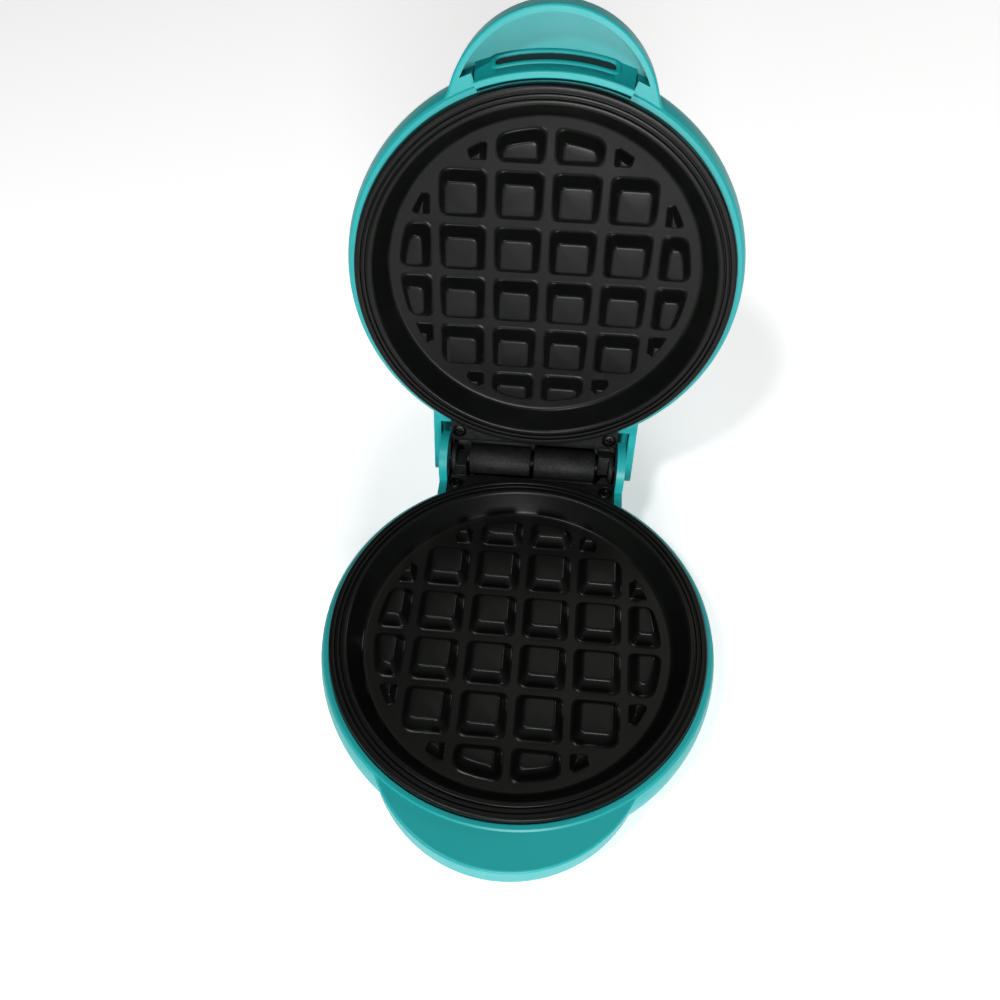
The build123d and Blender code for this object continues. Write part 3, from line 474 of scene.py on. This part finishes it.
def ear_outline(inset):
    """Outline of the ears behind the rim, shrunk by an inset, going round once."""
    inner = RIM_RADIUS - EAR_UNDER_RIM
    side = EAR_HALF - inset
    end = EAR_END - inset
    start = math.degrees(math.acos(side / inner))
    points = []
    steps = 40
    for step in range(steps + 1):
        turn = math.radians(180 - start - (180 - 2 * start) * step / steps)
        points.append((inner * math.cos(turn), inner * math.sin(turn)))
    for corner_x, first in ((side - EAR_CORNER, 0), (EAR_CORNER - side, 90)):
        for step in range(7):
            turn = math.radians(first + 90 * step / 6)
            points.append((
                corner_x + EAR_CORNER * math.cos(turn), end - EAR_CORNER + EAR_CORNER * math.sin(turn)))
    return points


def add_box(plate, x_low, x_high, y_low, y_high, z_low, z_high, corner=0.3, edge=0.25):
    """A small block with softened edges."""
    middle, half = (x_low + x_high) / 2, (x_high - x_low) / 2
    rings = rounded_box_rings(half, y_low, y_high, z_low, z_high, corner, edge, 3)
    plate.rings([[(x + middle, y, z) for x, y, z in ring] for ring in rings])


def build_plate(side, body):
    """The dish of a cooking plate with its stubs and ridged rim."""
    plate = Builder(f"{side}_plate_casting", side, NONSTICK, "plate", body)
    plate.lathe(list(reversed(DISH)))
    add_stubs(plate)
    piece = plate.finish()
    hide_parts(f"{side}_plate")


def build_ears(side, body):
    """The ears behind the rim, with sunk seats for their screws."""
    ears = Builder(f"{side}_plate_ears", side, CAST, "plate", body)
    levels = [
        (EAR_UNDER, 0.0), (EAR_TOP - EAR_EDGE, 0.0), (EAR_TOP - EAR_EDGE * 0.3, EAR_EDGE * 0.3),
        (EAR_TOP, EAR_EDGE)]
    ears.rings([[(x, y, z) for x, y in ear_outline(inset)] for z, inset in levels])
    piece = ears.finish()
    cut_screw_recesses(piece, side)
    for sign in (-1, 1):
        add_seat_ring(side, body, sign)


def screw_ring(sign, radius, z, count):
    """A circle about a screw's axis."""
    return [(
        sign * SCREW_X + radius * math.cos(2 * math.pi * step / count),
        SCREW_Y + radius * math.sin(2 * math.pi * step / count), z) for step in range(count)]


def add_seat_ring(side, body, sign):
    """The low raised ring round a screw's seat."""
    ring = Builder(f"{side}_seat_ring_{'right' if sign > 0 else 'left'}", side, CAST, "plate", body)
    count = 72
    section = (
        (RECESS_RADIUS - 0.05, EAR_TOP - 0.5), (RECESS_RADIUS - 0.03, EAR_TOP + 0.10),
        (RECESS_RADIUS + 0.06, EAR_TOP + 0.20), (RECESS_RADIUS + 0.22, EAR_TOP + 0.20),
        (RECESS_RADIUS + 0.34, EAR_TOP + 0.08), (RECESS_RADIUS + 0.38, EAR_TOP - 0.2))
    loops = [
        [ring.mesh.verts.new(point) for point in screw_ring(sign, radius, z, count)] for radius, z in section]
    for low, high in zip(loops, loops[1:] + loops[:1]):
        for step in range(count):
            after = (step + 1) % count
            ring.mesh.faces.new((low[step], low[after], high[after], high[step]))
    ring.finish()


def build_hinge(side, body):
    """A plate's share of the hinge: a long tube on one side and an end knuckle on the other."""
    hinge = Builder(f"{side}_plate_hinge", side, CAST, "plate", body)
    add_barrel(hinge, *BARREL_SPAN, BARREL_RADIUS)
    low, high = BARREL_SPAN
    root, top = EAR_UNDER + 0.02, EAR_TOP + 0.5
    add_box(hinge, low + 0.2, high - 0.2, EAR_END - 1.5, HINGE_Y, root, EAR_TOP - 0.4)
    add_box(hinge, low + 0.1, high - 0.1, EAR_END - 0.75, EAR_END + 0.8, EAR_TOP - 1.0, top, 0.2, 0.3)
    low, high = -KNUCKLE_SPAN[1], -KNUCKLE_SPAN[0]
    add_barrel(hinge, low, low + KNUCKLE_DISC, BARREL_RADIUS)
    add_box(hinge, low, low + KNUCKLE_DISC, EAR_END - 1.5, HINGE_Y, root, EAR_TOP + 0.6)
    add_box(hinge, low + 1.4, high, EAR_END + 0.2, HINGE_Y + 2.2, root, HINGE_Z + 2.1, 0.4, 0.35)
    add_box(hinge, low, high, EAR_END - 0.9, EAR_END + 0.9, root, top)
    hinge.finish()


def build_bay_painted_shade(side, body):
    """Painted shade: black sheets on the floor and cheeks of the bay that the hinge tubes turn in, standing
    in for the shade there.
    """
    painted_shade = Builder(f"{side}_bay_painted_shade", side, COVER, "cover", body)
    add_box(painted_shade, -BAY_HALF, BAY_HALF, BAY_FRONT, BAY_REAR, BAY_FLOOR, BAY_FLOOR + 0.5, 0.2, 0.12)
    for low, high in ((-BAY_HALF, 0.3 - BAY_HALF), (BAY_HALF - 0.3, BAY_HALF)):
        add_box(painted_shade, low, high, BAY_FRONT, BAY_REAR, BAY_FLOOR, BAY_CHEEK, 0.1, 0.1)
    painted_shade.finish()


def arc_point(radius, degrees_round, z):
    """A point by its distance from the half's axis and its angle from the handle."""
    turn = math.radians(degrees_round)
    return radius * math.sin(turn), -radius * math.cos(turn), z


def insert_face(z):
    """Distance of the insert's sloping face from the axis at a height."""
    return INSERT_TOP_RADIUS + (INSERT_FOOT_RADIUS - INSERT_TOP_RADIUS) * (INSERT_SHOULDER - z) / (
        INSERT_SHOULDER - INSERT_FOOT)


def slot_outline(half_angle, low, high, corner, count=9):
    """A round-cornered slot as (angle, height) pairs; corner is in millimetres."""
    corner_angle = math.degrees(corner / SLOT_RADIUS)
    points = []
    for side, level, start in ((1, high, 0), (-1, high, 90), (-1, low, 180), (1, low, 270)):
        sign = 1 if level == high else -1
        for step in range(count):
            turn = math.radians(start + 90 * step / (count - 1))
            points.append((
                side * (half_angle - corner_angle) + corner_angle * math.cos(turn),
                level - sign * corner + corner * math.sin(turn)))
    spread = []
    for (angle, z), (next_angle, next_z) in zip(points, points[1:] + points[:1]):
        pieces = max(1, int(abs(next_angle - angle)))
        spread += [
            (angle + (next_angle - angle) * n / pieces, z + (next_z - z) * n / pieces) for n in range(pieces)]
    return spread


def build_insert():
    """The insert between the lid's plate and its hollow handle: a thin curved wall with a framed slot."""
    wall = Builder("handle_insert_wall", "upper", TEAL, "housing", "lid")
    section = (
        (INSERT_FOOT_RADIUS - 1.6, INSERT_FOOT), (INSERT_FOOT_RADIUS, INSERT_FOOT),
        (INSERT_TOP_RADIUS + 0.1, INSERT_SHOULDER - 0.3), (INSERT_TOP_RADIUS + 0.35, INSERT_SHOULDER),
        (INSERT_TOP_RADIUS + 0.35, INSERT_TOP - 0.3), (INSERT_TOP_RADIUS + 0.1, INSERT_TOP),
        (INSERT_TOP_RADIUS - 1.3, INSERT_TOP), (INSERT_TOP_RADIUS - 1.55, INSERT_TOP - 0.25),
        (INSERT_TOP_RADIUS - 1.6, INSERT_SHOULDER - 0.2))
    steps = 60
    rings = []
    for step in range(steps + 1):
        angle = INSERT_HALF * (2 * step / steps - 1)
        rings.append([arc_point(radius, angle, z) for radius, z in section])
    wall.rings(rings)
    piece = wall.finish()
    tool = Builder("slot_tool", "upper", TEAL, "housing", "lid")
    outline = slot_outline(SLOT_HALF, SLOT_LOW, SLOT_HIGH, SLOT_CORNER)
    tool.rings([[arc_point(radius, angle, z) for angle, z in outline] for radius in (60.0, 70.0)])
    cut_with(piece, tool.finish())
    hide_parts("handle_insert")
    build_slot_painted_shade(steps)
    build_slot_frame()


def build_slot_painted_shade(steps):
    """Painted shade: a black sheet that closes the slot just behind the insert's face, standing in for the
    shade inside it.
    """
    painted_shade = Builder("handle_slot_painted_shade", "upper", COVER, "cover", "lid")
    half = SLOT_HALF + 0.4
    rings = []
    for step in range(steps + 1):
        angle = half * (2 * step / steps - 1)
        to_end = math.radians(half - abs(angle)) * SLOT_RADIUS
        inset = SLOT_CORNER - math.sqrt(max(0.0, SLOT_CORNER ** 2 - max(0.0, SLOT_CORNER - to_end) ** 2))
        low, high = SLOT_LOW - PAINTED_SHADE_OVERLAP + inset, SLOT_HIGH + PAINTED_SHADE_OVERLAP - inset
        rings.append([arc_point(insert_face(z) - depth, angle, z) for z, depth in (
            (low, 0.9), (low, 0.25), (high, 0.25), (high, 0.9))])
    painted_shade.rings(rings)
    painted_shade.finish()


def build_slot_frame():
    """The raised frame round the insert's slot."""
    frame_piece = Builder("handle_slot_frame", "upper", TEAL, "housing", "lid")
    inner = slot_outline(SLOT_HALF, SLOT_LOW, SLOT_HIGH, SLOT_CORNER)
    width = math.degrees(FRAME_WIDTH / SLOT_RADIUS)
    outer = slot_outline(SLOT_HALF + width, SLOT_LOW - FRAME_WIDTH, SLOT_HIGH + FRAME_WIDTH, FRAME_CORNER)
    outer = match_outline(inner, outer)
    # Share of the way across the frame, and how far it stands out of the insert's face there
    profile = (
        (0.0, -1.2), (0.0, 0.20), (0.12, 0.40), (0.3, 0.50),
        (0.7, 0.50), (0.88, 0.36), (1.0, 0.05), (1.0, -0.4))
    rings = []
    for share, stand in profile:
        rings.append([
            arc_point(insert_face(z) + stand, angle, z) for angle, z in (
                (a + (c - a) * share, b + (d - b) * share) for (a, b), (c, d) in zip(inner, outer))])
    frame_piece.rings(rings + rings[:1], cap_first=False, cap_last=False)
    bmesh.ops.remove_doubles(frame_piece.mesh, verts=frame_piece.mesh.verts, dist=1e-5)
    frame_piece.finish(50.0)


def match_outline(inner, outer):
    """The points of an outer outline in the same directions as the inner one's, from the shared middle."""
    middle_z = (SLOT_LOW + SLOT_HIGH) / 2
    matched = []
    for angle, z in inner:
        side_angle = angle / SLOT_HALF
        side_z = (z - middle_z) / ((SLOT_HIGH - SLOT_LOW) / 2)
        best = min(outer, key=lambda point: (
            (point[0] / (SLOT_HALF + math.degrees(FRAME_WIDTH / SLOT_RADIUS)) - side_angle) ** 2 * 40
            + ((point[1] - middle_z) / ((SLOT_HIGH - SLOT_LOW) / 2 + FRAME_WIDTH) - side_z) ** 2))
        matched.append(best)
    return matched


def cut_with(piece, tool):
    """Subtract one closed piece from another and drop the tool."""
    cut = piece.modifiers.new("cut", "BOOLEAN")
    cut.object = tool
    cut.solver = "EXACT"
    applied = bpy.data.meshes.new_from_object(piece.evaluated_get(bpy.context.evaluated_depsgraph_get()))
    piece.modifiers.clear()
    piece.data = applied
    bpy.data.objects.remove(tool)


def cut_screw_recesses(piece, side):
    """Sink the round recesses of the ear screws."""
    cutter_mesh = bmesh.new()
    for sign in (-1, 1):
        place = Matrix.Translation((sign * SCREW_X, SCREW_Y, EAR_TOP + 1 - RECESS_DEPTH / 2))
        bmesh.ops.create_cone(
            cutter_mesh, cap_ends=True, segments=64, radius1=RECESS_RADIUS, radius2=RECESS_RADIUS,
            depth=RECESS_DEPTH + 2, matrix=place)
    cutter_mesh.transform(half_matrix(side))
    data = bpy.data.meshes.new(f"{side}_recess_tool")
    cutter_mesh.to_mesh(data)
    cutter_mesh.free()
    tool = bpy.data.objects.new(f"{side}_recess_tool", data)
    bpy.context.scene.collection.objects.link(tool)
    cut_with(piece, tool)


def cross_ring(sign, scale, z, count):
    """A cross-shaped ring about a screw's axis, with as many points as the round ones."""
    points = []
    for step in range(count):
        turn = 2 * math.pi * step / count + CROSS_TURN
        local = (turn + math.pi / 4) % (math.pi / 2) - math.pi / 4
        reach = min(CROSS_REACH, CROSS_HALF / max(abs(math.sin(local)), 1e-6))
        reach = max(reach, CROSS_HALF * 1.25) * scale
        points.append((
            sign * SCREW_X + reach * math.cos(turn - CROSS_TURN),
            SCREW_Y + reach * math.sin(turn - CROSS_TURN), z))
    return points


def build_screws(side, body):
    """Cross-head screws in the ears."""
    screws = Builder(f"{side}_ear_screws", side, BLACK_STEEL, "screw_black", body)
    count = 64
    seat = EAR_TOP - RECESS_DEPTH
    crown = seat + HEAD_HEIGHT
    # Shank and domed head as (radius, height), then the cross as (share of its reach, height)
    turned = (
        (SHANK_RADIUS, seat - SHANK_LENGTH), (SHANK_RADIUS, seat), (HEAD_RADIUS, seat),
        (HEAD_RADIUS, seat + 0.35 * HEAD_HEIGHT), (0.95 * HEAD_RADIUS, seat + 0.7 * HEAD_HEIGHT),
        (0.83 * HEAD_RADIUS, seat + 0.9 * HEAD_HEIGHT), (0.66 * HEAD_RADIUS, crown))
    sunk = ((1.0, crown), (0.92, crown - 0.12), (0.55, crown - CROSS_DEPTH))
    for sign in (-1, 1):
        screws.rings(
            [screw_ring(sign, radius, z, count) for radius, z in turned]
            + [cross_ring(sign, scale, z, count) for scale, z in sunk])
    piece = screws.finish(30.0)
    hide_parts(f"{side}_plate_screws")


# Stage, lights and camera

def build_stage():
    """A plain pale floor."""
    bpy.ops.mesh.primitive_plane_add(size=6.0, location=(0, 0, 0))
    floor = bpy.context.object
    floor.name = "floor"
    material, tree, shader = new_material("pale_floor")
    cloud = add_noise(tree, 3.0)
    tone = add_ramp(tree, cloud.outputs["Fac"], [(0.3, (0.92, 0.92, 0.92)), (0.7, (0.93, 0.93, 0.93))])
    tree.links.new(tone.outputs["Color"], shader.inputs["Base Color"])
    shader.inputs["Emission Color"].default_value = (1.0, 1.0, 1.0, 1.0)
    shader.inputs["Emission Strength"].default_value = 0.45
    shader.inputs["Roughness"].default_value = 0.9
    floor.data.materials.append(material)


def add_light(name, direction, distance, size, power, colour=(1.0, 1.0, 1.0)):
    """A soft rectangular light in a direction from the object, aimed at it."""
    data = bpy.data.lights.new(name, "AREA")
    data.size, data.energy, data.color = size, power, colour
    light = bpy.data.objects.new(name, data)
    light.location = LIGHT_TARGET + Vector(direction).normalized() * distance
    light.rotation_euler = (light.location - LIGHT_TARGET).to_track_quat("Z", "Y").to_euler()
    bpy.context.scene.collection.objects.link(light)


def build_lights():
    """Soft studio light: a wide source in front, a small lamp overhead, and two behind, the right one low."""
    add_light("front", (0.10, -0.94, 0.32), 1.3, 0.40, 14.0)
    add_light("overhead", (-0.28, -0.42, 0.86), 1.1, 0.11, 4.5)
    add_light("sheen", (0.10, 0.44, 0.90), 1.2, 0.50, 1.1, (1.0, 0.97, 0.90))
    add_light("back_window", (0.76, 0.50, 0.42), 1.2, 0.18, 2.0)
    world = bpy.data.worlds.new("studio")
    world.use_nodes = True
    world.node_tree.nodes["Background"].inputs["Color"].default_value = (0.96, 0.98, 1.0, 1.0)
    world.node_tree.nodes["Background"].inputs["Strength"].default_value = 0.07
    bpy.context.scene.world = world
    bpy.context.scene.view_settings.view_transform = "Standard"


def build_camera():
    """The photograph's view."""
    data = bpy.data.cameras.new("camera")
    data.lens = CAMERA_LENS
    data.sensor_width = 36.0
    data.clip_start = 0.01
    camera = bpy.data.objects.new("camera", data)
    camera.location = CAMERA_PLACE
    camera.rotation_euler = (math.radians(CAMERA_PITCH), 0, math.radians(CAMERA_TURN))
    bpy.context.scene.collection.objects.link(camera)
    bpy.context.scene.camera = camera


dress_cad_nodes()
for half_name, half_body in (("lower", "base"), ("upper", "lid")):
    build_plate(half_name, half_body)
    build_ears(half_name, half_body)
    build_hinge(half_name, half_body)
    build_bay_painted_shade(half_name, half_body)
    build_screws(half_name, half_body)
build_insert()
build_stage()
build_lights()
build_camera()
